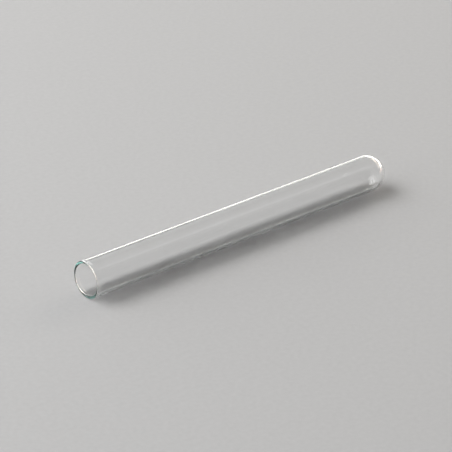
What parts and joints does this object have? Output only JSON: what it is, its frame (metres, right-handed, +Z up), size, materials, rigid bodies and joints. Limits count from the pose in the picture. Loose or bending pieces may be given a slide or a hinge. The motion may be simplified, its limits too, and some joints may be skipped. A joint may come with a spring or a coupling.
{
  "type": "test tube",
  "caption": "Round-bottomed glass laboratory test tube with a straight bore, a hemispherical closed end and a plain fire-polished lip, lying on its side; it holds a liquid or solid sample.",
  "frame": {"origin": "on the surface that the tube lies on, under the middle of its length and under its axis", "axes": "+X along the tube from the open mouth at -X to the tip of the round bottom at +X; +Z up from the surface it lies on; +Y level across the tube"},
  "size_m": [0.18, 0.018, 0.018],
  "materials": {
    "glass": "clear borosilicate tubing, fire-polished and colourless when seen through, with a blue-green tint where the lip and the closed end are seen along the glass; very faint lines along its length from drawing"
  },
  "bodies": {
    "root": {"glass_tube": "glass"}
  },
  "joints": []
}
